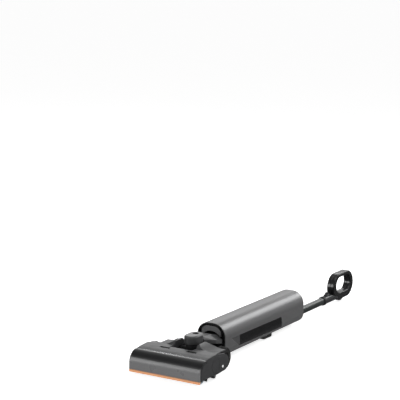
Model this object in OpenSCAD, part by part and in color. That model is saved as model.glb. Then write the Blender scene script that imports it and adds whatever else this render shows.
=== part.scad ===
/* [Cleaning head] */
// Overall width of the cleaning head, mm
head_w = 270; // [230:5:330]
// Diameter of the brush roller over the nap, mm
roller_d = 66; // [56:1:70]
// Thickness of the head covers, mm
cover_t = 3; // [2:0.5:4]
// Diameter of the large rear wheels, mm
wheel_d = 76; // [60:2:78]
// Width of the large rear wheels, mm
wheel_w = 26; // [20:1:27]

/* [Neck] */
// Diameter of the swivel barrel, mm
barrel_d = 50; // [44:1:54]
// Diameter of the upright swivel pin, mm
spindle_d = 16; // [12:1:19]

/* [Main body] */
// Width of the main body, mm
body_w = 110; // [104:1:118]
// Length of the main body shell, mm
body_len = 543; // [500:1:680]
// Thickness of the body shell, mm
shell_t = 2.5; // [2:0.5:3.5]

/* [Handle] */
// Length of the bare rod behind the body, mm
rod_len = 255; // [200:5:320]
// Diameter of the rod, mm
rod_d = 28; // [22:1:28]
// Length of the handle loop along the rod, mm
loop_len = 167; // [140:1:210]
// Thickness of the handle loop across the machine, mm
loop_w = 30; // [24:1:38]

/* [Hidden] */
$fn = 96;
e = 0.3;
hw = head_w / 2;
plate_out = hw - 14;
plate_in = hw - 17;
roller_r = roller_d / 2;
roller_y = 7 + roller_r;
roller_z = roller_r + 0.3;
seam_y = 40;
shoulder_r = 39;
shoulder_z = 41;
skin_z = 60;
top_y1 = 108;
top_z0 = 80;
top_z1 = 85.6;
cover_y1 = 150;
wall_y = 78;
motor_y = 116;
motor_z = 46;
pulley_r = 11;
pinion_r = 7;
wheel_r = wheel_d / 2;
wheel_y = 176 + wheel_r;
wheel_x = 84;
pitch_y = 172;
pitch_z = 60;
notch_w = 43;
well_y = 99;
well_t = 3;
yaw_y = 164;
barrel_r = barrel_d / 2;
barrel_z0 = 87;
barrel_z1 = 115;
flank_x = 112;
flank_r = 110;
flank_z = 77;
crest_y = 155;
crest_r = 39;
duct_x0 = notch_w + 6.5;
duct_x1 = wheel_x - wheel_w / 2 - 9.5;
barrel_back = 187;
bw = body_w / 2;
body_y0 = 283;
body_y1 = body_y0 + body_len;
body_z1 = 128.2;
body_z0 = 13.8;
top_r = 45;
bot_r = 35;
rod_r = rod_d / 2;
rod_z = body_z0 + shell_t + rod_r + 0.7;
collar_y = body_y1 + rod_len;
socket_r = rod_r + 1.5;
loop_y0 = collar_y + 57;
loop_y1 = loop_y0 + loop_len;
total_len = loop_y1;
bay_y0 = 332;
bay_y1 = 560;
bay_x = 34;
foot_y0 = 578;
foot_y1 = 645;
eng_y = body_y1 - 190;

// Frame with the middle of the overall length over the origin
module place() { translate([0, -total_len / 2, 0]) children(); }
// Sweep a side outline drawn in length and height across the machine
module across(x0, x1) { translate([x0, 0, 0]) rotate([90, 0, 90]) linear_extrude(x1 - x0) children(); }
// Sweep a front outline drawn in width and height along the machine
module along(y0, y1) { translate([0, y1, 0]) rotate([90, 0, 0]) linear_extrude(y1 - y0) children(); }
module xrod(r, x0, x1, y, z) { translate([x0, y, z]) rotate([0, 90, 0]) cylinder(r = r, h = x1 - x0); }
module yrod(r, y0, y1, x, z) { translate([x, y1, z]) rotate([90, 0, 0]) cylinder(r = r, h = y1 - y0); }
module zrod(r, z0, z1, x, y) { translate([x, y, z0]) cylinder(r = r, h = z1 - z0); }
module box(x0, x1, y0, y1, z0, z1) { translate([x0, y0, z0]) cube([x1 - x0, y1 - y0, z1 - z0]); }
module both() { children(); mirror([1, 0, 0]) children(); }

// Rounded section of the main body, set in by d
module section(d) {
  w = bw - d;
  for (s = [-1, 1]) {
    translate([s * (bw - top_r), body_z1 - top_r]) circle(r = top_r - d);
    translate([s * (bw - bot_r), body_z0 + bot_r]) circle(r = bot_r - d);
  }
  translate([-w, body_z0 + bot_r]) square([2 * w, body_z1 - top_r - body_z0 - bot_r]);
  translate([-(bw - top_r), 60]) square([2 * (bw - top_r), body_z1 - d - 60]);
  translate([-(bw - bot_r), body_z0 + d]) square([2 * (bw - bot_r), 60 - body_z0 - d]);
}
// Front shoulder outline of the head, set in by d
module shoulder(d) {
  intersection() {
    translate([1 + shoulder_r, shoulder_z]) circle(r = shoulder_r - d);
    translate([0, shoulder_z - 0.01]) square([seam_y, 60]);
  }
  translate([1 + d, 16]) square([seam_y - 1 - d, shoulder_z - 16]);
}
// Upper edge of the head between the seam and the rear
module crown() {
  polygon([[seam_y + e, top_z0], [62, 83], [84, 84.7], [top_y1, top_z1], [top_y1, 40], [seam_y + e, 40]]);
}
module cap_outline(d) {
  difference() {
    union() {
      polygon([[6 + d, 18 + d], [30, 20 + d], [110, 19 + d], [149, 21.5 + d], [149, 48], [165.5 - d, 68.5 - d],
        [153, 77.2 - d], [126, 80.6 - d], [top_y1, 81 - d], [top_y1 - 2, top_z1 - d], [84, 84.7 - d],
        [62, 83 - d], [41, 80 - d], [41, 42], [6 + d, 42]]);
      translate([149, 48]) circle(r = 26.5 - d);
      intersection() {
        translate([1 + shoulder_r, shoulder_z]) circle(r = shoulder_r - 5 - d);
        translate([0, shoulder_z]) square([42, 60]);
      }
    }
  }
}
module window_outline(d) {
  polygon([[body_y0 + 40 + 2 * d, 74 - d], [body_y0 + 377 - d, 71 - d],
    [body_y0 + 386 - 2 * d, 32 + d], [body_y0 + 91 + d, 36.5 + d]]);
}
module loop_outline(d) {
  r = 51 - d;
  for (y = [loop_y0 + 51, loop_y1 - 51]) translate([y, 66]) circle(r = r);
  translate([loop_y0 + 51, 66 - r]) square([loop_len - 102, 2 * r]);
}
module loop_hole(d) {
  r = 30 + d;
  for (y = [loop_y0 + 56, loop_y1 - 56]) translate([y, 72]) circle(r = r);
  translate([loop_y0 + 56, 72 - r]) square([loop_len - 112, 2 * r]);
}

// ---- cleaning head ----
module head_chassis() { color("#1d1e1f") place() difference() {
  union() {
    box(-plate_out, plate_out, wall_y, wall_y + 3, 12, 74);
    box(-plate_out, plate_out, wall_y, cover_y1 - 4, 14, 18);
    both() {
      across(plate_in, plate_out) {
        polygon([[8, 22], [wall_y + 3, 22], [wall_y + 3, 14], [cover_y1 - 4, 14],
          [cover_y1 - 4, 70], [seam_y, 72]]);
        translate([roller_y, roller_z]) circle(r = 17);
      }
      box(notch_w + 1, notch_w + 4, wall_y, 160, 14, 60);
      across(38, 44) {
        translate([pitch_y, pitch_z]) circle(r = 13);
        polygon([[150, 14], [pitch_y + 6, 30], [pitch_y + 13, pitch_z], [pitch_y - 13, pitch_z], [150, 40]]);
      }
      box(38, 47, 146, 156, 14, 40);
      across(wheel_x - wheel_w / 2 - 8, wheel_x - wheel_w / 2 - 2) {
        translate([wheel_y, wheel_r]) circle(r = 11);
        polygon([[138, 14], [155, 14], [wheel_y, wheel_r - 11], [wheel_y, wheel_r + 11], [146, 60], [138, 60]]);
      }
      box(100, 106, 109, 123, 3, 20);
    }
    box(-44, 44, 138, 146, 14, 24);
  }
  xrod(6.6, -hw, hw, roller_y, roller_z);
  both() xrod(10.1, plate_in - 1, plate_in + 2.5, roller_y, roller_z);
  xrod(11.5, -plate_out - 1, -plate_in + 1, motor_y, motor_z);
  xrod(8.2, -50, 50, pitch_y, pitch_z);
  both() xrod(4, wheel_x - wheel_w / 2 - 9, wheel_x, wheel_y, wheel_r);
  both() xrod(2.6, 99, 107, 116, 9);
  both() box(106.5, 117.8, 105, 127, 12, 20);
  box(duct_x0 - 0.4, duct_x1 + 0.4, wall_y - 1, wall_y + 4, 36, 64);
  both() zrod(1.6, 13, 19, 90, 90);
  both() zrod(1.6, 13, 19, 60, 130);
} }
module top_cover() { color("#7f8081") place() difference() {
  union() {
    across(-hw + 6.3, hw - 6.3) intersection() {
      difference() { crown(); translate([0, -cover_t]) crown(); }
      translate([0, 60]) square([top_y1, 40]);
    }
    both() across(plate_in - 14, plate_in - 12)
      polygon([[wall_y + 4, 74.5], [wall_y + 4, 82], [100, 83], [100, 74.5]]);
  }
  both() box(33, 70, 78.7, 89.4, 70, 90);
  box(-notch_w - well_t - e, notch_w + well_t + e, well_y - 2 - e, 120, 60, 90);
} }
// Raised flank beside the neck, set in by d
module flank(d) {
  intersection() {
    along(top_y1 + e, crest_y + crest_r) difference() {
      translate([notch_w + d, 74]) square([flank_x - notch_w - 2 * d, 40]);
      translate([flank_x - 2, flank_z + flank_r]) circle(r = flank_r + d);
      translate([notch_w, 101]) rotate(45) square(9, center = true);
    }
    across(0, flank_x) translate([crest_y, 62]) circle(r = crest_r - d);
  }
}
module rear_cover() { color("#6f7071") place() difference() {
  union() {
    across(-hw + 6.3, hw - 6.3) polygon([[top_y1 + e, 81], [top_y1 + e, 84.8], [118, 84.6], [128, 83.2],
      [138, 80.4], [146, 76.4], [cover_y1, 72], [cover_y1, 40], [cover_y1 - cover_t, 40],
      [cover_y1 - cover_t, 71], [138, 77], [118, 81]]);
    both() difference() {
      flank(0);
      translate([0, 0, -0.01]) flank(cover_t - 0.5);
    }
    across(-notch_w - well_t, notch_w + well_t) polygon([[well_y - 2, 62], [well_y - 2, 85],
      [top_y1 + e, 84.8], [118, 84.6], [128, 83.2], [138, 80.4], [138, 62]]);
  }
  box(-notch_w, notch_w, well_y, 200, 30, 110);
  both() box(notch_w, 83, cover_y1 - 12, 160, 30, 70);
} }
module end_cap_body() {
  difference() {
    union() {
      across(hw - 6, hw - 1.4) cap_outline(0);
      across(hw - 1.4, hw) cap_outline(4);
      intersection() {
        across(plate_out + 0.2, hw - 6) difference() { cap_outline(0.5); cap_outline(3); }
        box(0, hw, 62, 190, 10, 58);
      }
    }
    box(plate_out, hw - 5, 4, seam_y + 0.3, 14, 90);
    across(hw - 0.7, hw + 1) difference() {
      translate([96, 50]) circle(r = 24);
      translate([96, 50]) circle(r = 22.5);
    }
    xrod(4.8, hw - 12, hw + 1, 139, 38);
    box(plate_out, hw - 5.8, 2, 8, 10, 80);
  }
}
module end_cap_left() { color("#3f4041") place() mirror([1, 0, 0]) end_cap_body(); }
module end_cap_right() { color("#3f4041") place() end_cap_body(); }
module rear_scraper() { color("#2a2a2b") place() difference() {
  across(-plate_in + 2, plate_in - 2) polygon([[wall_y - 5, 0.6], [wall_y - 4, 0.6], [wall_y - 0.1, 12],
    [wall_y - 0.1, 26], [wall_y - 3, 26], [wall_y - 3, 13]]);
  for (x = [-90 : 20 : 90]) box(x - 1, x + 1, wall_y - 6, wall_y - 3, 0, 5);
} }
module suction_duct() { color("#2c2d2e") place() difference() {
  union() {
    box(duct_x0, duct_x1, wall_y + 0.2, pitch_y + 14, 37, 63);
    xrod(13, notch_w + 4.3, duct_x1, pitch_y, pitch_z);
  }
  box(duct_x0 + 2, duct_x1 - 2, wall_y, pitch_y + 12, 39, 61);
  xrod(9, notch_w, duct_x1 - 4, pitch_y, pitch_z);
} }
module spray_bar() { color("#4a4b4d") place() difference() {
  union() {
    xrod(3, -plate_in + 4, plate_in - 4, wall_y - 3.1, 70);
    for (i = [-4 : 4]) zrod(2, 66, 69, i * 24, wall_y - 3.1);
  }
  xrod(1.5, -plate_in, plate_in - 6, wall_y - 3.1, 70);
} }
module roller_motor() { color("#8b8d90") place() {
  difference() {
    xrod(19, -plate_in + 1, -plate_in + 60, motor_y, motor_z);
    for (a = [0 : 60 : 300]) translate([0, motor_y + 14 * cos(a), motor_z + 14 * sin(a)])
      rotate([0, 90, 0]) translate([0, 0, -plate_in + 57]) cylinder(r = 2, h = 10);
  }
  xrod(8, -plate_in + 60, -plate_in + 64, motor_y, motor_z);
} }
// Belt runs around both pulleys in the gap behind the left end cap
module belt_loop(d) {
  hull() {
    translate([roller_y, roller_z]) circle(r = pulley_r + d, $fn = 48);
    translate([motor_y, motor_z]) circle(r = pinion_r + d, $fn = 48);
  }
}
module drive_belt() { color("#151515") place() across(-plate_out - 5.2, -plate_out - 2.2) difference() {
  belt_loop(2);
  belt_loop(0.5);
} }
module roller_bearings() { color("#b9bbbe") place() both() difference() {
  xrod(10, plate_in, plate_in + 2.4, roller_y, roller_z);
  xrod(6.1, plate_in - 1, plate_in + 4, roller_y, roller_z);
} }
module head_screws() { color("#9c9ea1") place() both() for (p = [[90, 90], [60, 130]]) difference() {
  union() {
    zrod(3, 12, 13.9, p[0], p[1]);
    zrod(1.5, 13.9, 22, p[0], p[1]);
  }
  zrod(1, 11, 13, p[0], p[1]);
} }
module wheel_axles() { color("#a9abae") place() both() {
  xrod(3.9, wheel_x - wheel_w / 2 - 8, wheel_x + wheel_w / 2 - 3, wheel_y, wheel_r);
  xrod(2.5, 100, 117.5, 116, 9);
} }

// ---- lift-off front cover ----
module front_cover() { color("#232426") place() difference() {
  union() {
    across(-hw + 0.2, hw - 0.2) difference() {
      shoulder(0);
      shoulder(1 + cover_t);
      difference() { translate([0, 10]) square([12, skin_z - 10 + 0.1]); shoulder(1.05); }
    }
    both() across(hw - 6 + 1, hw - 0.2) difference() {
      union() {
        translate([2, 20.8]) square([3.7, 20]);
        intersection() {
          shoulder(1);
          translate([0, 40]) square([45, 50]);
        }
      }
      translate([1 + shoulder_r, shoulder_z]) circle(r = shoulder_r - 4.6);
    }
  }
  box(-hw - 1, hw + 1, -2, seam_y, 10, 20.8);
  box(-hw - 1, hw + 1, 4.9, seam_y + 1, 10, 40);
} }
module front_panel() { color("#7b7b7c") place() intersection() {
  across(-hw, hw) difference() {
    shoulder(0);
    shoulder(1);
  }
  box(-hw, hw, 0, seam_y, 20.8, skin_z);
} }
module front_strip() { color("#e2a478") place() difference() {
  across(-hw, hw) polygon([[0, 12], [3, 12], [5.5, 20.5], [0.6, 20.5]]);
  for (x = [-hw + 8 : 10 : hw - 8]) box(x, x + 1.5, 2.2, 4, 11, 14);
} }
module latch_body() {
  box(46, 60, 81.4, 84.6, 76, 81.5);
  box(40, 52, 80.6, 83, 80.6, 83.4);
  box(44, 62, 79.6, 87.4, 74.4, 76);
}
module cover_latch_left() { color("#141414") place() mirror([1, 0, 0]) latch_body(); }
module cover_latch_right() { color("#141414") place() latch_body(); }
module roller_release() { color("#f1f2f2") place() {
  xrod(4.4, hw - 8, hw - 0.2, 139, 38);
  xrod(6, hw - 9.5, hw - 8, 139, 38);
} }

// ---- brush roller ----
module roller_core() { color("#3b4a55") place() {
  difference() {
    xrod(roller_r - 6, -plate_in + 2.5, plate_in - 2.5, roller_y, roller_z);
    xrod(roller_r - 9, -plate_in + 6, plate_in - 6, roller_y, roller_z);
  }
  xrod(6, -plate_out - 1.4, -plate_in + 6, roller_y, roller_z);
  xrod(6, plate_in - 6, plate_out - 0.5, roller_y, roller_z);
} }
module roller_nap() { color("#8fa3ad") place() difference() {
  xrod(roller_r, -plate_in + 4, plate_in - 4, roller_y, roller_z);
  xrod(roller_r - 6, -plate_in, plate_in, roller_y, roller_z);
} }
module roller_pulley() { color("#c9c9c6") place() difference() {
  xrod(pulley_r, -plate_out - 5.2, -plate_out - 1.5, roller_y, roller_z);
  for (a = [0 : 60 : 300]) translate([0, roller_y + 7 * cos(a), roller_z + 7 * sin(a)])
    rotate([0, 90, 0]) translate([0, 0, -plate_out - 7]) cylinder(r = 1.6, h = 7);
} }
module motor_pulley() { color("#c9c9c6") place() {
  xrod(pinion_r, -plate_out - 5.2, -plate_out - 1, motor_y, motor_z);
  xrod(3, -plate_out - 1, -plate_in + 0.5, motor_y, motor_z);
} }

// ---- wheels ----
module wheel_body() {
  difference() {
    union() {
      translate([wheel_x - wheel_w / 2, wheel_y, wheel_r]) rotate([0, 90, 0]) rotate_extrude()
        polygon([[4, 0], [wheel_r - 3, 0], [wheel_r, 3], [wheel_r, wheel_w - 3],
          [wheel_r - 3, wheel_w], [4, wheel_w]]);
    }
    xrod(22, wheel_x + wheel_w / 2 - 3, wheel_x + wheel_w, wheel_y, wheel_r);
    xrod(22, wheel_x - wheel_w, wheel_x - wheel_w / 2 + 3, wheel_y, wheel_r);
    for (a = [0 : 60 : 300]) translate([0, wheel_y + 14 * cos(a), wheel_r + 14 * sin(a)])
      rotate([0, 90, 0]) cylinder(r = 4.5, h = 200);
    for (a = [0 : 12 : 348]) translate([wheel_x, wheel_y, wheel_r]) rotate([a, 0, 0])
      translate([-wheel_w, -0.8, wheel_r - 1.2]) cube([2 * wheel_w, 1.6, 3]);
  }
}
module rear_wheel_left() { color("#161616") place() mirror([1, 0, 0]) wheel_body(); }
module rear_wheel_right() { color("#161616") place() wheel_body(); }
module caster_body() {
  difference() {
    xrod(9, 107, 117, 116, 9);
    xrod(2.6, 106, 118.5, 116, 9);
  }
}
module caster_left() { color("#1b1b1b") place() mirror([1, 0, 0]) caster_body(); }
module caster_right() { color("#1b1b1b") place() caster_body(); }

// ---- pitching yoke ----
module yoke_block() { color("#3c3d3e") place() difference() {
  union() {
    xrod(8, -notch_w - 2.5, notch_w + 2.5, pitch_y, pitch_z);
    xrod(12.5, -37.7, 37.7, pitch_y, pitch_z);
    zrod(12, pitch_z, barrel_z0 - 3.5, 0, yaw_y);
    zrod(spindle_d / 2, 60, barrel_z1 - 5, 0, yaw_y);
    zrod(20.5, barrel_z0 - 3.5, barrel_z0 - 0.3, 0, yaw_y);
  }
  xrod(5.5, 10, 50, pitch_y, pitch_z);
  zrod(4, 66, barrel_z1, 0, yaw_y);
} }
module neck_boot() { color("#222324") place() difference() {
  translate([0, yaw_y, 0]) rotate_extrude() polygon([[12.06, 63], [13.4, 63], [15, 64.4], [15.6, 66.4],
    [17, 67.6], [17.4, 69.8], [18.6, 71], [18.7, 73.2], [19.7, 74.4], [19.6, 76.6], [20.4, 77.8],
    [20.2, 80], [20.8, 81.2], [20.6, barrel_z0 - 3.56], [12.06, barrel_z0 - 3.56]]);
  xrod(12.56, -40, 40, pitch_y, pitch_z);
} }

// ---- swivelling neck and main body ----
module neck_barrel() { color("#5d5e60") place() difference() {
  union() {
    for (y = [yaw_y, barrel_back]) translate([0, y, 0]) rotate_extrude() {
      translate([0, barrel_z0]) square([barrel_r - 2, 6]);
      translate([0, barrel_z0 + 2]) square([barrel_r, barrel_z1 - barrel_z0 - 8]);
      translate([0, barrel_z0 + 6]) square([barrel_r - 6, barrel_z1 - barrel_z0 - 6]);
      translate([barrel_r - 6, barrel_z1 - 6]) circle(r = 6);
    }
    along(yaw_y, barrel_back) {
      translate([-barrel_r, barrel_z0 + 2]) square([2 * barrel_r, barrel_z1 - barrel_z0 - 8]);
      translate([-barrel_r + 2, barrel_z0]) square([2 * barrel_r - 4, 6]);
      translate([-barrel_r + 6, barrel_z0 + 6]) square([2 * barrel_r - 12, barrel_z1 - barrel_z0 - 6]);
      for (s = [-1, 1]) translate([s * (barrel_r - 6), barrel_z1 - 6]) circle(r = 6);
    }
  }
  zrod(spindle_d / 2 + 0.08, barrel_z0 - 1, barrel_z1 - 4.6, 0, yaw_y);
  zrod(10.5, barrel_z1 - 4.7, barrel_z1 + 1, 0, barrel_back);
  neck_bore();
} }
module neck_bore() {
  translate([0, yaw_y + 12, barrel_z0 + 10]) rotate([-101, 0, 0]) cylinder(r = 8, h = 106);
  yrod(8, body_y0 - 12, body_y0 + 30, 0, 76);
}
module neck_arm() { color("#6a6b6d") place() difference() {
  union() {
    box(-22, 22, body_y0 - 8, body_y0 + 19.9, 64, 88);
    hull() {
      along(barrel_back + 8, barrel_back + 9)
        polygon([[-20, 104], [20, 104], [25, 96], [25, 84], [-25, 84], [-25, 96]]);
      along(barrel_back + 52, barrel_back + 53)
        polygon([[-21, 103], [21, 103], [46, 86], [46, 74], [-46, 74], [-46, 86]]);
      along(body_y0 - 6, body_y0 - 5)
        polygon([[-24, 92], [24, 92], [46, 78], [46, 66], [-46, 66], [-46, 78]]);
    }
  }
  zrod(barrel_r + 0.05, 60, 130, 0, barrel_back);
  neck_bore();
} }
module body_shell() { color("#8a8b8d") place() difference() {
  along(body_y0, body_y1 - 4) difference() {
    section(0);
    section(shell_t);
  }
  across(-bw - 2, bw + 2) window_outline(0);
  box(-bay_x, bay_x, bay_y0, bay_y1, 0, 30);
  box(-26, 26, foot_y0 - 4, foot_y1 + 4, 0, 30);
  box(-10.6, 10.6, bay_y1 - 1, foot_y0 - 3, 0, 30);
} }
module front_rim() { color("#0f0f10") place() difference() {
  union() {
    along(body_y0 - 4, body_y0 + 18) difference() {
      section(shell_t + 0.05);
      section(shell_t + 6.5);
    }
    along(body_y0 + 6, body_y0 + 8.5) section(shell_t + 6);
  }
  box(-22.1, 22.1, body_y0, body_y0 + 10, 50, 88.1);
} }
module inner_panel() { color("#6d6e70") place() along(body_y0 - 1, body_y0 + 5.9) intersection() {
  section(shell_t + 6.6);
  difference() {
    translate([-37, 84]) square([74, 50]);
    translate([0, 58]) circle(r = 43);
  }
} }
module rear_cap() { color("#3a3b3d") place() difference() {
  union() {
    along(body_y1 - 4, body_y1 - 2) section(0.4);
    along(body_y1 - 2, body_y1) section(2.4);
    along(body_y1 - 10, body_y1 - 4) section(shell_t + 0.05);
    yrod(rod_r + 6, body_y1 - 34, body_y1 - 9, 0, rod_z + 6);
  }
  along(body_y1 - 11, body_y1 - 6) difference() {
    section(shell_t + 2.5);
    translate([0, 35]) circle(r = rod_r + 6);
  }
  yrod(rod_r + 0.05, body_y1 - 32, body_y1 + 1, 0, rod_z);
  yrod(26.1, body_y1 - 1.6, body_y1 + 1, 0, 88);
  box(-50, 50, body_y1 - 36, body_y1 - 8, 0, body_z0 + shell_t + 0.1);
} }
module window_side(s) {
  intersection() {
    along(body_y0, body_y1) difference() { section(0.2); section(shell_t); }
    across(s > 0 ? 20 : -bw - 2, s > 0 ? bw + 2 : -20) window_outline(0.15);
  }
}
module side_windows() { color("#26282a") place() for (s = [-1, 1]) window_side(s); }
module main_frame() { color("#4c4d50") place() difference() {
  union() {
    box(-bw + 12, bw - 12, body_y0 + 20, body_y1 - 36, 76, 79);
    for (y = [body_y0 + 20, bay_y1 + 4, eng_y - 6]) along(y, y + 3) intersection() {
      section(shell_t + 0.1);
      translate([-60, 20]) square([120, 120]);
    }
    box(-20, 20, foot_y0, eng_y - 5, 20, 76);
  }
  yrod(8, body_y0 + 10, body_y0 + 30, 0, 76);
  box(-14, 14, foot_y0 + 3, eng_y - 8, 19, 74);
  yrod(16, bay_y1, bay_y1 + 10, 0, 100);
  yrod(24, eng_y - 8, eng_y, 0, 96);
  box(-bay_x - 6, bay_x + 6, bay_y1 + 2, bay_y1 + 9, 19, 60);
} }
module suction_motor() { color("#9b9da1") place() translate([0, 0, 0]) difference() {
  union() {
    yrod(20, eng_y + 2, eng_y + 42, 0, 103);
    yrod(21.5, eng_y, eng_y + 8, 0, 103);
  }
  yrod(16.5, eng_y - 1, eng_y + 16, 0, 103);
  for (a = [0 : 45 : 315]) yrod(2.5, eng_y + 30, eng_y + 50, 15 * cos(a), 103 + 15 * sin(a));
} }
module fan_rotor() { color("#d5d6d8") place() translate([0, eng_y + 2, 103]) rotate([-90, 0, 0]) {
  cylinder(r = 5, h = 12);
  cylinder(r = 16, h = 1.5);
  for (a = [0 : 40 : 320]) rotate([0, 0, a]) translate([4, -0.6, 1]) cube([11.5, 1.2, 8]);
} }
module exhaust_filter() { color("#dcdcd6") place() difference() {
  yrod(21.5, eng_y + 46, eng_y + 66, 0, 103);
  yrod(14, eng_y + 45, eng_y + 62, 0, 103);
  for (a = [0 : 15 : 345]) translate([0, eng_y + 46, 103]) rotate([0, a, 0])
    translate([20.2, -1, -0.7]) cube([3, 18, 1.4]);
} }
module battery_case() { color("#202225") place() difference() {
  box(-36, 36, eng_y + 2, eng_y + 142, 28, 72);
  box(-34, 34, eng_y + 4, eng_y + 140, 30, 73);
} }
module battery_cells() { color("#3f6f9a") place() {
  for (x = [-22, 0, 22], y = [0, 1]) yrod(9, eng_y + 5 + y * 66, eng_y + 70 + y * 66, x, 41);
  for (x = [-11, 11], y = [0, 1]) yrod(9, eng_y + 5 + y * 66, eng_y + 70 + y * 66, x, 61);
} }
module control_board() { color("#1f5a3c") place() {
  box(-24, 24, eng_y + 70, eng_y + 140, 84, 85.6);
  box(-16, -4, eng_y + 84, eng_y + 96, 85.6, 88);
  box(6, 16, eng_y + 100, eng_y + 118, 85.6, 90);
  for (i = [0 : 3]) zrod(3, 85.6, 95, -16 + 8 * i, eng_y + 130);
} }
module water_pump() { color("#55585c") place() {
  box(24, 40, bay_y1 + 12, bay_y1 + 36, 81, 97);
  yrod(7, bay_y1 + 36, bay_y1 + 54, 32, 89);
  yrod(2.5, bay_y1 + 8, bay_y1 + 12, 32, 89);
} }
module clean_tank() { color("#7d98a6") place() difference() {
  along(body_y0 + 26, bay_y1) intersection() {
    section(shell_t + 0.4);
    translate([-60, 80]) square([120, 60]);
  }
  along(body_y0 + 28, bay_y1 - 2) intersection() {
    section(shell_t + 2.4);
    translate([-60, 82]) square([120, 60]);
  }
} }
module dirty_tank() { color("#4d5256") place() difference() {
  union() {
    box(-bay_x + e, bay_x - e, bay_y0 + e, bay_y1 - e, 15, 70);
  }
  box(-bay_x + 2.3, bay_x - 2.3, bay_y0 + 2.3, bay_y1 - 2.3, 17, 71);
} }
module tank_lid() { color("#2b2c2e") place() difference() {
  union() {
    box(-bay_x + e, bay_x - e, bay_y0 + e, bay_y1 - e, 70, 73);
    box(-bay_x + 2.5, bay_x - 2.5, bay_y0 + 2.5, bay_y1 - 2.5, 67, 70);
  }
  zrod(9, 60, 80, 0, bay_y0 + 30);
} }
module float_ball() { color("#e6e6e2") place() {
  translate([0, bay_y0 + 60, 45]) sphere(r = 11);
  zrod(2, 50, 66.6, 0, bay_y0 + 60);
} }
module tank_latch() { color("#17181a") place() {
  box(-10, 10, bay_y1 + 1, bay_y1 + 12, 15, 18.5);
  box(-6, 6, bay_y1 + 0.1, bay_y1 + 3, 18, 22);
  for (i = [0 : 2]) box(-8, 8, bay_y1 + 3 + 3 * i, bay_y1 + 4.4 + 3 * i, 14.2, 15);
} }
module rest_foot() { color("#121213") place() difference() {
  union() {
    across(-25, 25) polygon([[foot_y0, 13], [foot_y0 + 14, 0], [foot_y1 - 3, 0], [foot_y1, 3], [foot_y1, 13]]);
    box(-24, 24, foot_y0, foot_y1, 13, 20);
  }
  for (s = [-1, 1]) box(s * 12 - 5, s * 12 + 5, foot_y0 + 24, foot_y1 - 10, -1, 1.2);
} }
module display() { color("#0c0d10") place() difference() {
  yrod(26, body_y1 - 1.5, body_y1 + 1.5, 0, 88);
  yrod(20, body_y1 + 0.9, body_y1 + 3, 0, 88);
} }

// ---- rod and handle ----
module rod_tube() { color("#3a403e") place() difference() {
  yrod(rod_r, body_y1 - 31, collar_y + 22, 0, rod_z);
  yrod(rod_r - 2.2, body_y1 - 32, collar_y + 23, 0, rod_z);
} }
module rod_collar() { color("#101112") place() difference() {
  union() {
    yrod(rod_r + 3.4, collar_y - 7, collar_y + 1, 0, rod_z);
    yrod(rod_r + 2.4, collar_y - 12, collar_y - 7, 0, rod_z);
  }
  yrod(rod_r + 0.05, collar_y - 14, collar_y + 3, 0, rod_z);
} }
socket_y0 = collar_y + 1.3;
module handle_socket() { color("#4a4b4c") place() difference() {
  union() {
    yrod(socket_r, socket_y0, loop_y0 + 30, 0, rod_z);
    translate([0, loop_y0 + 30, rod_z]) sphere(r = socket_r);
    yrod(8, socket_y0 + 16, socket_y0 + 40, 0, rod_z + socket_r - 2);
  }
  yrod(rod_r + 0.06, socket_y0 - 1, collar_y + 23, 0, rod_z);
  box(-5.3, 5.3, socket_y0 + 22, socket_y0 + 36, rod_z + 15.5, rod_z + 30);
} }
module loop_half() {
  xrod(1.9, 0.1, 8.8, loop_y0 + 64, 20);
  difference() {
    union() {
      across(0.1, loop_w / 2 - 3) difference() { loop_outline(0); loop_hole(0); }
      across(loop_w / 2 - 3, loop_w / 2 - 1) difference() { loop_outline(1.2); loop_hole(1.2); }
      across(loop_w / 2 - 1, loop_w / 2) difference() { loop_outline(3); loop_hole(3); }
    }
    yrod(socket_r + 0.1, socket_y0 - 40, loop_y0 + 30, 0, rod_z);
    translate([0, loop_y0 + 30, rod_z]) sphere(r = socket_r + 0.1);
    box(-1, 8.6, loop_y0 + 59, loop_y0 + 94.4, 10, 30);
    box(-1, 6.4, loop_y0 + 62, loop_y0 + 100, 34.5, 46);
  }
}
module loop_left() { color("#1b1b1c") place() mirror([1, 0, 0]) loop_half(); }
module loop_right() { color("#1b1b1c") place() loop_half(); }
module release_button() { color("#0f0f0f") place() {
  box(-5, 5, socket_y0 + 22.3, socket_y0 + 35.7, rod_z + 17, rod_z + 26);
} }
module trigger() { color("#0e0e0e") place() difference() {
  across(-8.2, 8.2) polygon([[loop_y0 + 60.4, 18], [loop_y0 + 62, 8], [loop_y0 + 72, 6], [loop_y0 + 92, 12],
    [loop_y0 + 93.6, 18], [loop_y0 + 93.6, 24], [loop_y0 + 60.4, 24]]);
  xrod(2, -10, 10, loop_y0 + 64, 20);
} }
module power_button() { color("#a4a6a8") place() zrod(5.4, 36, 43.4, 0, loop_y0 + 70); }
module mode_button() { color("#8e9092") place() box(-4.6, 4.6, loop_y0 + 82, loop_y0 + 98, 36, 43); }

head_chassis();
top_cover();
rear_cover();
end_cap_left();
end_cap_right();
rear_scraper();
suction_duct();
spray_bar();
roller_motor();
drive_belt();
roller_bearings();
head_screws();
wheel_axles();
front_cover();
front_panel();
front_strip();
cover_latch_left();
cover_latch_right();
roller_release();
roller_core();
roller_nap();
roller_pulley();
motor_pulley();
rear_wheel_left();
rear_wheel_right();
caster_left();
caster_right();
yoke_block();
neck_boot();
neck_barrel();
neck_arm();
body_shell();
front_rim();
inner_panel();
rear_cap();
side_windows();
main_frame();
suction_motor();
fan_rotor();
exhaust_filter();
battery_case();
battery_cells();
control_board();
water_pump();
clean_tank();
dirty_tank();
tank_lid();
float_ball();
tank_latch();
rest_foot();
display();
rod_tube();
rod_collar();
handle_socket();
loop_left();
loop_right();
release_button();
trigger();
power_button();
mode_button();
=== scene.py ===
import math

import bmesh
import bpy
from mathutils import Matrix, Vector


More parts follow.
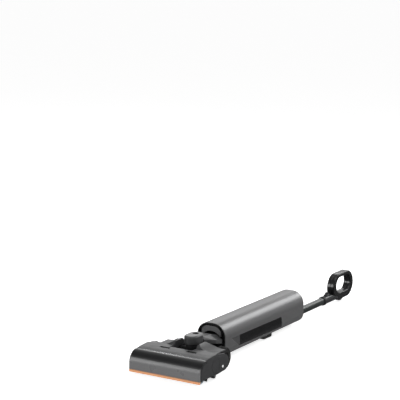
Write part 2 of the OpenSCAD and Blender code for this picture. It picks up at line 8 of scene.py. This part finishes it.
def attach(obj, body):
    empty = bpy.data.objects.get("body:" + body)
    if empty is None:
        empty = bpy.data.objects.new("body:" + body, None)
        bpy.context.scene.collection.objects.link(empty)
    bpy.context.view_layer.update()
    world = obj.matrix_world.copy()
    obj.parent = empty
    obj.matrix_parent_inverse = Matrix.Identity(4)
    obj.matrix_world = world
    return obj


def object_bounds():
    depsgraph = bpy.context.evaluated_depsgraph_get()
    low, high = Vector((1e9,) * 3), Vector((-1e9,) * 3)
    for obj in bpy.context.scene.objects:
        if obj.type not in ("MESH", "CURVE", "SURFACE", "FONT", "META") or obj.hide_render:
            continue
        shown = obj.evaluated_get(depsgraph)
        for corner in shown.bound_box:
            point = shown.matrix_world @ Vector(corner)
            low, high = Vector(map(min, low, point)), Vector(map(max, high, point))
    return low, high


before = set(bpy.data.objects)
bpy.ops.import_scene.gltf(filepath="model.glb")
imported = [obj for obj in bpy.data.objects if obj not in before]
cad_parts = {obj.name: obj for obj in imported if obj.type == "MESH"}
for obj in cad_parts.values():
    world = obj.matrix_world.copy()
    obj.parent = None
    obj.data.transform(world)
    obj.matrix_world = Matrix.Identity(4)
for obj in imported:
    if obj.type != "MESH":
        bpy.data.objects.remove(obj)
CAD_BOX = [list(corner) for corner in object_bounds()]

MM = 0.001


# ---------------------------------------------------------------- camera
def aim(thing, place, direction):
    thing.location = place
    thing.rotation_mode = "QUATERNION"
    thing.rotation_quaternion = Vector(direction).to_track_quat("-Z", "Y")


HALF = (CAD_BOX[1][1] - CAD_BOX[0][1]) / 2
AZIMUTH, PITCH = math.radians(32.68), math.radians(10.28)
LENS, SENSOR = 125.8, 36.0
STANDING = (2.3966, -3.5227 - HALF, 1.3585)
BACK = Vector((math.sin(AZIMUTH) * math.cos(PITCH),
               -math.cos(AZIMUTH) * math.cos(PITCH),
               math.sin(PITCH)))
camera = bpy.data.objects.new("camera", bpy.data.cameras.new("camera"))
bpy.context.scene.collection.objects.link(camera)
camera.data.sensor_width = SENSOR
camera.data.lens = LENS
camera.data.clip_start, camera.data.clip_end = 0.1, 60.0
aim(camera, STANDING, -BACK)
bpy.context.scene.camera = camera


# ---------------------------------------------------------------- shader maths
class Value:
    """A socket that can be used in sums."""

    def __init__(self, finish, socket):
        self.finish, self.socket = finish, socket

    def _sum(self, operation, *others):
        return self.finish.node("ShaderNodeMath", {"operation": operation}, *((self,) + others))

    def __add__(self, other):
        return self._sum("ADD", other)

    def __mul__(self, other):
        return self._sum("MULTIPLY", other)

    def __sub__(self, other):
        return self._sum("SUBTRACT", other)

    def __rsub__(self, other):
        return self.finish.node("ShaderNodeMath", {"operation": "SUBTRACT"}, other, self)

    __radd__, __rmul__ = __add__, __mul__

    def above(self, level, soft=0.02):
        """0 below level, 1 above it, blended over soft."""
        return self.finish.node("ShaderNodeMapRange", {"interpolation_type": "SMOOTHSTEP"},
                                self, level - soft, level + soft, 0.0, 1.0)

    def between(self, low, high, soft=0.02):
        return self.above(low, soft) * (1 - self.above(high, soft))

    def to(self, low, high):
        return self.finish.node("ShaderNodeMapRange", {}, self, 0.0, 1.0, low, high)


class Finish:
    """One procedural material."""

    def __init__(self, name, **constants):
        self.material = bpy.data.materials.new(name)
        self.material.use_nodes = True
        self.tree = self.material.node_tree
        self.shader = self.tree.nodes["Principled BSDF"]
        self.place = self.node("ShaderNodeTexCoord", {}, output="Object")
        for key, value in constants.items():
            self.shader.inputs[key.replace("_", " ")].default_value = value

    def node(self, kind, settings, *values, output=None, **named):
        made = self.tree.nodes.new(kind)
        for key, value in settings.items():
            setattr(made, key, value)
        inputs = [s for s in made.inputs if s.enabled]
        by_name = [(self._named(made, key), value) for key, value in named.items()]
        for socket, value in list(zip(inputs, values)) + by_name:
            if isinstance(value, Value):
                self.tree.links.new(value.socket, socket)
            elif value is not None:
                socket.default_value = value
        outputs = [s for s in made.outputs if s.enabled]
        return Value(self, next(s for s in outputs if output in (None, s.name)))

    @staticmethod
    def _named(made, key):
        return next(s for s in made.inputs if s.enabled and s.name == key.replace("_", " "))

    def feed(self, name, value):
        self.tree.links.new(value.socket, self.shader.inputs[name])

    def at(self, scale=(1, 1, 1), turn=(0, 0, 0)):
        """The piece's own coordinates, stretched and turned."""
        return self.node("ShaderNodeMapping", {}, self.place, (0, 0, 0), turn, scale)

    def axis(self, letter):
        return self.node("ShaderNodeSeparateXYZ", {}, self.place, output=letter)

    def noise(self, scale, detail=3.0, rough=0.5, where=None):
        return self.node("ShaderNodeTexNoise", {}, where or self.place, Scale=scale, Detail=detail,
                         Roughness=rough, output="Fac")

    def cells(self, scale):
        return self.node("ShaderNodeTexVoronoi", {}, self.place, Scale=scale, output="Distance")

    def mix(self, factor, first, second):
        colour = [c if isinstance(c, Value) else (*c, 1.0) for c in (first, second)]
        return self.node("ShaderNodeMix", {"data_type": "RGBA"}, factor, *colour)

    def relief(self, heights, round_edge=0.0):
        """Bump from (height value, depth in metres) pairs over an edge rounding."""
        normal = None
        if round_edge:
            normal = self.node("ShaderNodeBevel", {"samples": 6}, round_edge)
        for height, depth in heights:
            normal = self.node("ShaderNodeBump", {}, Strength=1.0, Distance=depth, Height=height,
                               Normal=normal)
        if normal:
            self.feed("Normal", normal)

    def edges(self, reach):
        """1 along the outer edges, 0 on flat faces."""
        rounded = self.node("ShaderNodeBevel", {"samples": 6}, reach)
        face = self.node("ShaderNodeNewGeometry", {}, output="True Normal")
        turned = self.node("ShaderNodeVectorMath", {"operation": "DOT_PRODUCT"}, rounded, face,
                           output="Value")
        return (1 - turned).above(0.08, 0.07)


def shade(colour, strength):
    return tuple(min(1.0, part * strength) for part in colour)


def coated_metal(name, colour, rough, metallic, flake=1.0, round_edge=0.0012, shine=0.3):
    """Satin paint with fine flakes, worn a little lighter on its edges."""
    f = Finish(name, Specular_IOR_Level=shine, Coat_Roughness=0.2)
    cloud = f.noise(9.0, 4.0)
    flakes = f.cells(2600.0)
    drawn = f.noise(60.0, 3.0, 0.6, f.at((14, 1.0, 14)))
    tone = f.mix(cloud, shade(colour, 0.93), shade(colour, 1.06))
    tone = f.mix(flakes.above(0.55, 0.1) * 0.16 * flake, tone, shade(colour, 1.5))
    wear = f.edges(0.0009) * f.noise(160.0, 2.0).above(0.56, 0.08)
    f.feed("Base Color", f.mix(wear * 0.5, tone, shade(colour, 1.7)))
    f.feed("Roughness", drawn.to(rough - 0.05, rough + 0.07) + f.noise(240.0).to(-0.03, 0.03))
    f.feed("Metallic", cloud.to(metallic - 0.05, metallic + 0.05))
    f.feed("Coat Weight", f.noise(30.0).to(0.1, 0.2))
    f.relief([(flakes, 0.000008 * flake), (f.noise(420.0, 2.0), 0.00001)], round_edge)
    return f


def moulding(name, colour, rough=0.5, grain=1.0, dust=0.06, round_edge=0.0008, coat=0.0):
    """Grained plastic with a little dust settled on it."""
    f = Finish(name, Specular_IOR_Level=0.45, Coat_Roughness=0.08)
    cloud = f.noise(14.0, 4.0)
    spark = f.cells(1500.0)
    tone = f.mix(cloud, shade(colour, 0.86), shade(colour, 1.14))
    settled = f.noise(70.0, 5.0, 0.7).above(0.6, 0.12) * dust
    tone = f.mix(settled, tone, (0.32, 0.31, 0.29))
    worn = f.edges(0.0008) * f.noise(210.0, 2.0).above(0.52, 0.1)
    f.feed("Base Color", f.mix(worn * 0.35, tone, shade(colour, 2.2)))
    f.feed("Roughness", f.noise(38.0, 4.0).to(rough - 0.07, rough + 0.09))
    if coat:
        f.feed("Coat Weight", f.noise(22.0).to(coat * 0.85, coat))
    f.relief([(spark, 0.00003 * grain), (f.noise(300.0, 3.0), 0.00002 * grain)], round_edge)
    return f


def gloss(name, colour, rough, round_edge=0.001, shine=0.4, coat=0.2):
    """Polished plastic with smears and hairline scratches."""
    f = Finish(name, Specular_IOR_Level=shine, Coat_Roughness=0.08)
    smear = f.noise(24.0, 5.0, 0.65)
    hair = f.noise(500.0, 2.0, 0.5, f.at((1, 0.06, 1), (0.4, 0.2, 0.7)))
    f.feed("Base Color", f.mix(f.noise(6.0), shade(colour, 0.85), shade(colour, 1.2)))
    f.feed("Roughness", smear.to(rough - 0.04, rough + 0.08) + hair.above(0.66, 0.03) * 0.12)
    f.feed("Coat Weight", smear.to(coat * 0.7, coat))
    f.relief([(f.noise(90.0, 2.0), 0.000012)], round_edge)
    return f


def rubber(name, colour, rough=0.78, grain=1.0):
    """Matt rubber with a faint powdery bloom."""
    f = Finish(name, Specular_IOR_Level=0.35)
    speck = f.noise(520.0, 3.0, 0.7)
    powder = f.noise(45.0, 5.0, 0.7).above(0.57, 0.12)
    tone = f.mix(speck, shade(colour, 0.8), shade(colour, 1.3))
    f.feed("Base Color", f.mix(powder * 0.10, tone, (0.22, 0.21, 0.20)))
    f.feed("Roughness", speck.to(rough - 0.08, rough + 0.08))
    f.relief([(speck, 0.00005 * grain)], 0.0008)
    return f


def bare_metal(name, colour, rough=0.3, stretch=(40, 1, 40)):
    """Plain metal with brushing drawn out along one axis."""
    f = Finish(name, Metallic=1.0)
    line = f.noise(50.0, 4.0, 0.6, f.at(stretch))
    f.feed("Base Color", f.mix(f.noise(20.0), shade(colour, 0.85), shade(colour, 1.1)))
    f.feed("Roughness", line.to(rough - 0.1, rough + 0.14))
    f.relief([(line, 0.00002)], 0.0004)
    return f


body_gray = coated_metal("body_gray", (0.15, 0.15, 0.152), 0.4, 0.6)
cover_gray = coated_metal("cover_gray", (0.062, 0.0625, 0.064), 0.4, 0.15, 1.0, 0.0012, 0.2)
saddle_gray = coated_metal("saddle_gray", (0.072, 0.0725, 0.074), 0.4, 0.15, 1.0, 0.002, 0.25)
neck_gray = coated_metal("neck_gray", (0.085, 0.086, 0.088), 0.32, 0.3)
rod_gray = coated_metal("rod_gray", (0.018, 0.023, 0.022), 0.3, 0.15, 0.5, 0.0008, 0.25)
cap_dark = moulding("cap_dark", (0.032, 0.0325, 0.034), 0.42, 1.0, 0.02)
black_grain = moulding("black_grain", (0.014, 0.014, 0.015), 0.5)
frame_black = moulding("frame_black", (0.02, 0.02, 0.021), 0.56, 1.3)
panel_gray = moulding("panel_gray", (0.16, 0.16, 0.163), 0.5)
piano_black = gloss("piano_black", (0.004, 0.004, 0.0045), 0.2, 0.001, 0.2, 0.0)
grip_black = gloss("grip_black", (0.004, 0.004, 0.0045), 0.2, 0.0035, 0.5, 0.3)
wheel_black = rubber("wheel_black", (0.011, 0.011, 0.011))
boot_black = rubber("boot_black", (0.022, 0.022, 0.023), 0.6, 2.0)
wiper_black = rubber("wiper_black", (0.018, 0.018, 0.018), 0.65)
steel = bare_metal("steel", (0.56, 0.57, 0.58))
alloy = bare_metal("alloy", (0.66, 0.67, 0.69), 0.36, (4, 30, 4))
acetal = moulding("acetal", (0.62, 0.62, 0.6), 0.4, 0.4, 0.02)
white_gloss = moulding("white_gloss", (0.88, 0.89, 0.89), 0.24, 0.2, 0.01, 0.0006, 0.5)
button_gray = moulding("button_gray", (0.36, 0.365, 0.37), 0.3, 0.3, 0.02, 0.0006, 0.4)
tank_tint = gloss("tank_tint", (0.10, 0.15, 0.18), 0.14)
tank_smoke = gloss("tank_smoke", (0.03, 0.033, 0.036), 0.14)
socket_gray = gloss("socket_gray", (0.02, 0.0205, 0.022), 0.24, 0.001, 0.35, 0.1)


def orange_strip():
    """Soft orange wiper, with painted shade: a darker band along its fold."""
    f = Finish("orange_strip", Specular_IOR_Level=0.5, Subsurface_Weight=0.35, Subsurface_Scale=0.004,
               Subsurface_Radius=(1.0, 0.45, 0.2))
    cloud = f.noise(26.0, 4.0)
    height = f.axis("Z")
    tone = f.mix(cloud, (0.74, 0.33, 0.15), (0.84, 0.43, 0.22))
    # painted shade: darker band along the fold
    tone = f.mix(height.between(0.0188, 0.022, 0.0006) * 0.8, tone, (0.55, 0.24, 0.11))
    f.feed("Base Color", tone)
    f.feed("Roughness", f.noise(120.0, 3.0).to(0.3, 0.46))
    f.relief([(f.noise(700.0, 2.0), 0.00002)], 0.0005)
    return f


def roller_pile():
    """Woven nap with darker bands wound round the roller."""
    f = Finish("roller_pile", Specular_IOR_Level=0.2, Sheen_Weight=0.6, Sheen_Roughness=0.5)
    twist = f.node("ShaderNodeTexWave", {"bands_direction": "X"}, f.at((1, 0.5, 0.5)), Scale=14.0,
                   Distortion=1.2, Detail=2.0, output="Fac")
    fibre = f.noise(900.0, 3.0, 0.7)
    tone = f.mix(fibre, (0.13, 0.17, 0.20), (0.38, 0.46, 0.51))
    f.feed("Base Color", f.mix(twist.above(0.6, 0.12) * 0.5, tone, (0.07, 0.09, 0.11)))
    f.feed("Roughness", fibre.to(0.82, 0.98))
    f.relief([(fibre, 0.0009), (twist, 0.0006)])
    return f


def circuit():
    f = Finish("circuit")
    grid = f.node("ShaderNodeTexBrick", {}, f.at(), Scale=160.0, Mortar_Size=0.03, output="Fac")
    f.feed("Base Color", f.mix(grid, (0.006, 0.06, 0.03), (0.5, 0.38, 0.12)))
    f.feed("Roughness", f.noise(80.0).to(0.28, 0.45))
    f.relief([(grid, 0.00006)])
    return f


def cell_wrap():
    f = Finish("cell_wrap")
    f.feed("Base Color", f.mix(f.noise(50.0), (0.03, 0.11, 0.24), (0.05, 0.16, 0.33)))
    f.feed("Roughness", f.noise(140.0).to(0.25, 0.4))
    f.relief([(f.noise(240.0, 2.0), 0.00005)])
    return f


def filter_paper():
    f = Finish("filter_paper", Specular_IOR_Level=0.2)
    f.feed("Base Color", f.mix(f.noise(400.0), (0.56, 0.55, 0.5), (0.78, 0.77, 0.72)))
    f.feed("Roughness", f.noise(90.0).to(0.85, 0.97))
    f.relief([(f.noise(600.0), 0.0001)])
    return f


def shoulder():
    """Painted reflection: gray at the foot of the front, running up into near black, then a lighter
    gray along the top edge.
    """
    f = Finish("shoulder", Specular_IOR_Level=0.4, Coat_Roughness=0.1)
    height = f.axis("Z")
    cloud = f.noise(12.0, 4.0)
    flakes = f.cells(2600.0)
    painted_reflection_gray = f.mix(cloud, (0.135, 0.136, 0.138), (0.16, 0.161, 0.163))
    painted_reflection_gray = f.mix(flakes.above(0.55, 0.1) * 0.15, painted_reflection_gray, (0.26, 0.26, 0.265))
    dark = f.mix(cloud, (0.006, 0.006, 0.0065), (0.010, 0.010, 0.011))
    # painted reflection: the gray foot and near-black shoulder stand for what the glossy front reflects
    tone = f.mix(height.above(0.056, 0.012), painted_reflection_gray, dark)
    f.feed("Base Color", f.mix(height.above(0.0775, 0.004), tone, (0.05, 0.05, 0.051)))
    f.feed("Roughness", f.noise(34.0, 4.0).to(0.24, 0.34))
    f.feed("Coat Weight", height.above(0.05, 0.015) * 0.3)
    f.relief([(flakes, 0.000006), (f.noise(90.0, 2.0), 0.000012)], 0.0012)
    return f


def smoked_window():
    """Dark window with the lighter inner wedge at its front end."""
    f = Finish("smoked_window", Specular_IOR_Level=0.25, Coat_Roughness=0.06)
    along = f.axis("Y")
    smear = f.noise(24.0, 5.0, 0.65)
    dark = f.mix(smear, (0.003, 0.0031, 0.0033), (0.008, 0.0082, 0.0088))
    band = f.axis("Z").between(0.030, 0.046, 0.004) * 0.4
    dark = f.mix(band, dark, (0.022, 0.022, 0.023))
    f.feed("Base Color", f.mix(1 - along.above(-0.276, 0.0015), dark, (0.055, 0.055, 0.056)))
    f.feed("Roughness", smear.to(0.14, 0.24))
    f.relief([(f.noise(90.0, 2.0), 0.00001)], 0.0004)
    return f


def yoke_finish():
    """Near black satin on the knuckle under the barrel."""
    f = Finish("yoke_finish", Specular_IOR_Level=0.3, Coat_Roughness=0.2)
    f.feed("Base Color", f.mix(f.noise(14.0, 4.0), (0.016, 0.016, 0.017), (0.024, 0.024, 0.025)))
    f.feed("Roughness", f.noise(60.0, 4.0).to(0.36, 0.5))
    f.relief([(f.cells(1500.0), 0.00002)], 0.001)
    return f


# front finish with painted reflection: gray foot, near-black shoulder
face = shoulder()
LOOKS = {
    # head
    "head_chassis": frame_black, "top_cover": cover_gray, "rear_cover": saddle_gray,
    "end_cap_left": cap_dark, "end_cap_right": cap_dark, "rear_scraper": wiper_black,
    "suction_duct": black_grain, "spray_bar": panel_gray, "roller_motor": alloy,
    "drive_belt": wiper_black, "roller_bearings": steel, "head_screws": steel, "wheel_axles": steel,
    "front_cover": face, "front_panel": face, "front_strip": orange_strip(),
    "cover_latch_left": piano_black, "cover_latch_right": piano_black, "roller_release": white_gloss,
    "roller_core": cap_dark, "roller_nap": roller_pile(), "roller_pulley": acetal,
    "motor_pulley": acetal, "rear_wheel_left": wheel_black, "rear_wheel_right": wheel_black,
    "caster_left": black_grain, "caster_right": black_grain,
    # neck
    "yoke_block": yoke_finish(), "neck_boot": boot_black, "neck_barrel": neck_gray,
    "neck_arm": saddle_gray,
    # body
    "body_shell": body_gray, "front_rim": piano_black, "inner_panel": panel_gray, "rear_cap": body_gray,
    "side_windows": smoked_window(), "main_frame": cap_dark, "suction_motor": alloy,
    "fan_rotor": alloy, "exhaust_filter": filter_paper(), "battery_case": black_grain,
    "battery_cells": cell_wrap(), "control_board": circuit(), "water_pump": black_grain,
    "clean_tank": tank_tint, "dirty_tank": tank_smoke, "tank_lid": black_grain, "float_ball": acetal,
    "tank_latch": black_grain, "rest_foot": wheel_black, "display": piano_black,
    # rod and handle
    "rod_tube": rod_gray, "rod_collar": black_grain, "handle_socket": socket_gray,
    "loop_left": grip_black, "loop_right": grip_black, "release_button": black_grain,
    "trigger": black_grain, "power_button": button_gray, "mode_button": button_gray,
}
for node, finish in LOOKS.items():
    for material_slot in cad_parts[node].material_slots:
        material_slot.material = finish.material


# ---------------------------------------------------------------- added pieces
FLAT_FACE = 0.0004
SEAM_Y, SEAM_Z, SEAM_LENGTH, SEAM_RADIUS = 41.1, 80.2, 254, 0.75
WELL_X, WELL_Y, WELL_Z, WELL_WALL = (32.4, 70.6), (78.2, 91), (70.4, 81.6), 0.4
WHEEL_Y, WHEEL_Z, WHEEL_FACE = 214, 38, 95.2
STUD_COUNT, STUD_RING, STUD_TURN, STUD_SUNK = 6, 14, 0.52, 0.4
GRIP_FACE = 14.9
GRIP_SCREWS = ((1151, 66), (1292, 66), (1221, 105.5), (1250, 28))
BARREL_Y, BARREL_TOP = 187, 110.7
DISPLAY_Y, DISPLAY_Z, DISPLAY_RADIUS, RING_WIRE = 826.2, 88, 26.5, 1.0
CONTACT_X, CONTACT_Y, CONTACT_Z = 9, 690, 13.6
# half spacing and distance from the head front of each pair of screws underneath
UNDER_SCREWS = ((24, 312), (27.6, 600), (24, 790))
UNDER_Z = 13.7


def spot(x, y, z):
    """Millimetres from the head front, as a point in the shared frame."""
    return Vector((x * MM, y * MM - HALF, z * MM))


def piece(name, body, mesh, finish, smooth=True):
    """Turn a bmesh into a named object that rides a body."""
    bmesh.ops.recalc_face_normals(mesh, faces=mesh.faces)
    data = bpy.data.meshes.new(name)
    mesh.to_mesh(data)
    mesh.free()
    for polygon in data.polygons:
        polygon.use_smooth = smooth and polygon.area < FLAT_FACE
    data.materials.append(finish.material)
    made = bpy.data.objects.new(name, data)
    bpy.context.scene.collection.objects.link(made)
    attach(made, body)


def drum(mesh, middle, axis, radius, depth, soft, sides=48):
    """A round bar about an axis letter, its rims rounded by soft, all in millimetres."""
    turn = {"X": Matrix.Rotation(math.pi / 2, 4, "Y"), "Y": Matrix.Rotation(-math.pi / 2, 4, "X"),
            "Z": Matrix.Identity(4)}[axis]
    made = bmesh.ops.create_cone(mesh, cap_ends=True, segments=sides, radius1=radius * MM,
                                 radius2=radius * MM, depth=depth * MM,
                                 matrix=Matrix.Translation(middle) @ turn)
    rims = {edge for vert in made["verts"] for edge in vert.link_edges
            if max(len(face.verts) for face in edge.link_faces) > 4}
    bmesh.ops.bevel(mesh, geom=list(rims), offset=soft * MM, segments=3, profile=0.5, material=-1,
                    affect="EDGES")


def block(mesh, low, high):
    """A cuboid between two corners."""
    return bmesh.ops.create_cube(mesh, size=1.0, matrix=Matrix.Translation((low + high) / 2)
                                 @ Matrix.Diagonal((*(high - low), 1.0)))["verts"]


def screw(mesh, place, axis, radius, side):
    """A domed screw head with a sunk round recess."""
    outward = {"X": Vector((side, 0, 0)), "Z": Vector((0, 0, side))}[axis]
    drum(mesh, place, axis, radius, 1.0, 0.3)
    caps = [f for f in mesh.faces
            if len(f.verts) > 20 and (f.calc_center_median() - place).length < 2 * MM]
    face = max(caps, key=lambda f: f.calc_center_median().dot(outward))
    bmesh.ops.inset_individual(mesh, faces=[face], thickness=radius * 0.42 * MM, use_even_offset=True)
    sunk = bmesh.ops.extrude_discrete_faces(mesh, faces=[face])["faces"][0]
    bmesh.ops.translate(mesh, verts=list(sunk.verts), vec=outward * -0.5 * MM)


def added_pieces():
    # bright metal for the display ring trim and for the seam's painted highlight
    bright = bare_metal("trim_and_seam_highlight", (0.62, 0.63, 0.64), 0.24, (1, 40, 40))
    brass = bare_metal("contact_brass", (0.78, 0.6, 0.32), 0.3)
    # near-black painted shade for the insides of slots and dimples
    hole_shade = rubber("painted_hole_shade", (0.002, 0.002, 0.002), 0.9, 0.5)

    # a bright metal bead along the seam: painted highlight of the crease between top cover and front
    bead = bmesh.new()
    drum(bead, spot(0, SEAM_Y, SEAM_Z), "X", SEAM_RADIUS, SEAM_LENGTH, 0.3, 20)
    piece("seam_highlight_bead", "head", bead, bright)

    for side, hand in ((-1, "left"), (1, "right")):
        well = bmesh.new()
        inner, outer = sorted(x * side for x in WELL_X)
        walls = block(well, spot(inner, WELL_Y[0], WELL_Z[0]), spot(outer, WELL_Y[1], WELL_Z[1]))
        top = max({f for v in walls for f in v.link_faces}, key=lambda f: f.calc_center_median().z)
        bmesh.ops.delete(well, geom=[top], context="FACES_ONLY")
        bmesh.ops.solidify(well, geom=list(well.faces), thickness=WELL_WALL * MM)
        # the well's near-black lining is painted shade inside the cover slot
        piece("latch_well_" + hand, "head", well, hole_shade, False)

        hub = bmesh.new()
        drum(hub, spot(WHEEL_FACE * side, WHEEL_Y, WHEEL_Z), "X", 9, 2.0, 0.7)
        for stud in range(STUD_COUNT):
            angle = stud * math.tau / STUD_COUNT + STUD_TURN
            middle = spot((WHEEL_FACE - STUD_SUNK) * side, WHEEL_Y + STUD_RING * math.cos(angle),
                          WHEEL_Z + STUD_RING * math.sin(angle))
            drum(hub, middle, "X", 2, 1.4, 0.4, 20)
        piece("hub_cap_" + hand, "wheel_" + hand, hub, cap_dark)

        heads = bmesh.new()
        for y, z in GRIP_SCREWS:
            screw(heads, spot(GRIP_FACE * side, y, z), "X", 2.4, side)
        piece("grip_screws_" + hand, "handle", heads, black_grain)

    # a thin near-black disc on the barrel top: painted shade of a dimple
    dimple = bmesh.new()
    drum(dimple, spot(0, BARREL_Y, BARREL_TOP), "Z", 10.3, 0.6, 0.2)
    piece("barrel_dimple_shade", "main", dimple, hole_shade)

    lens_ring = bmesh.new()
    bmesh.ops.create_circle(lens_ring, segments=16, radius=RING_WIRE * MM,
                            matrix=Matrix.Translation(spot(DISPLAY_RADIUS, DISPLAY_Y, DISPLAY_Z)))
    bmesh.ops.spin(lens_ring, geom=lens_ring.verts[:] + lens_ring.edges[:], axis=(0, 1, 0),
                   cent=spot(0, DISPLAY_Y, DISPLAY_Z), angle=math.tau, steps=96, use_merge=True)
    piece("display_ring", "main", lens_ring, bright)

    contacts = bmesh.new()
    for x in (-CONTACT_X, CONTACT_X):
        drum(contacts, spot(x, CONTACT_Y, CONTACT_Z), "Z", 3.5, 0.8, 0.3)
    piece("charge_contacts", "main", contacts, brass)

    feet = bmesh.new()
    for side in (-1, 1):
        for x, y in UNDER_SCREWS:
            screw(feet, spot(x * side, y, UNDER_Z), "Z", 2.6, -1)
    piece("underside_screws", "main", feet, steel)


added_pieces()


# ---------------------------------------------------------------- studio
FLOOR_REACH, FLOOR_GLOW = 30.0, 0.7
SKY_STRENGTH = 0.95
# height from straight down (0) to straight up (1), and how bright the sky is there
SKY_LEVELS = ((0.0, 0.08), (0.47, 0.16), (0.52, 0.6), (0.72, 0.36), (1.0, 0.2))
# name, place, what it points at, width and height in metres, watts
SOFTBOXES = (
    ("rear_box", (-2.3, 3.7, 1.95), (0, 0, 0.1), (5.0, 1.3), 40),
    ("left_strip", (-1.9, -3.3, 1.0), (0, -0.4, 0.1), (0.7, 1.6), 20),
    ("right_box", (3.2, 0.8, 2.6), (0, 0, 0), (2.0, 2.0), 40),
    ("top_box", (0.0, 0.2, 4.0), (0, 0, 0), (3.0, 3.0), 42),
    ("shoulder_box", (1.0, 3.3, 2.2), (0, 0, 0.1), (1.9, 1.4), 52),
)


def floor_and_light():
    mesh = bmesh.new()
    bmesh.ops.create_grid(mesh, x_segments=1, y_segments=1, size=FLOOR_REACH)
    data = bpy.data.meshes.new("floor")
    mesh.to_mesh(data)
    mesh.free()
    floor = bpy.data.objects.new("floor", data)
    bpy.context.scene.collection.objects.link(floor)
    paper = Finish("studio_paper", Specular_IOR_Level=0.1, Emission_Strength=FLOOR_GLOW)
    paper.shader.inputs["Emission Color"].default_value = (1, 1, 1, 1)
    paper.feed("Base Color", paper.mix(paper.noise(3.0), (0.93, 0.93, 0.93), (0.94, 0.94, 0.94)))
    paper.feed("Roughness", paper.noise(8.0).to(0.85, 0.9))
    data.materials.append(paper.material)
    floor.visible_glossy = False

    world = bpy.data.worlds.new("studio")
    bpy.context.scene.world = world
    world.use_nodes = True
    tree = world.node_tree
    sky = tree.nodes["Background"]
    where = tree.nodes.new("ShaderNodeTexCoord")
    split = tree.nodes.new("ShaderNodeSeparateXYZ")
    ramp = tree.nodes.new("ShaderNodeValToRGB")
    tree.links.new(where.outputs["Generated"], split.inputs[0])
    middle = tree.nodes.new("ShaderNodeMapRange")
    middle.inputs["From Min"].default_value = -1.0
    tree.links.new(split.outputs["Z"], middle.inputs["Value"])
    tree.links.new(middle.outputs[0], ramp.inputs[0])
    tree.links.new(ramp.outputs[0], sky.inputs["Color"])
    while len(ramp.color_ramp.elements) < len(SKY_LEVELS):
        ramp.color_ramp.elements.new(0.5)
    for stop, (position, level) in zip(ramp.color_ramp.elements, SKY_LEVELS):
        stop.position, stop.color = position, (level, level, level, 1)
    sky.inputs["Strength"].default_value = SKY_STRENGTH

    def softbox(name, place, target, size, power):
        lamp = bpy.data.objects.new(name, bpy.data.lights.new(name, "AREA"))
        lamp.data.shape = "RECTANGLE"
        lamp.data.size, lamp.data.size_y = size
        lamp.data.energy = power
        bpy.context.scene.collection.objects.link(lamp)
        aim(lamp, place, Vector(target) - Vector(place))

    for softbox_row in SOFTBOXES:
        softbox(*softbox_row)


floor_and_light()
bpy.context.scene.view_settings.view_transform = "Standard"
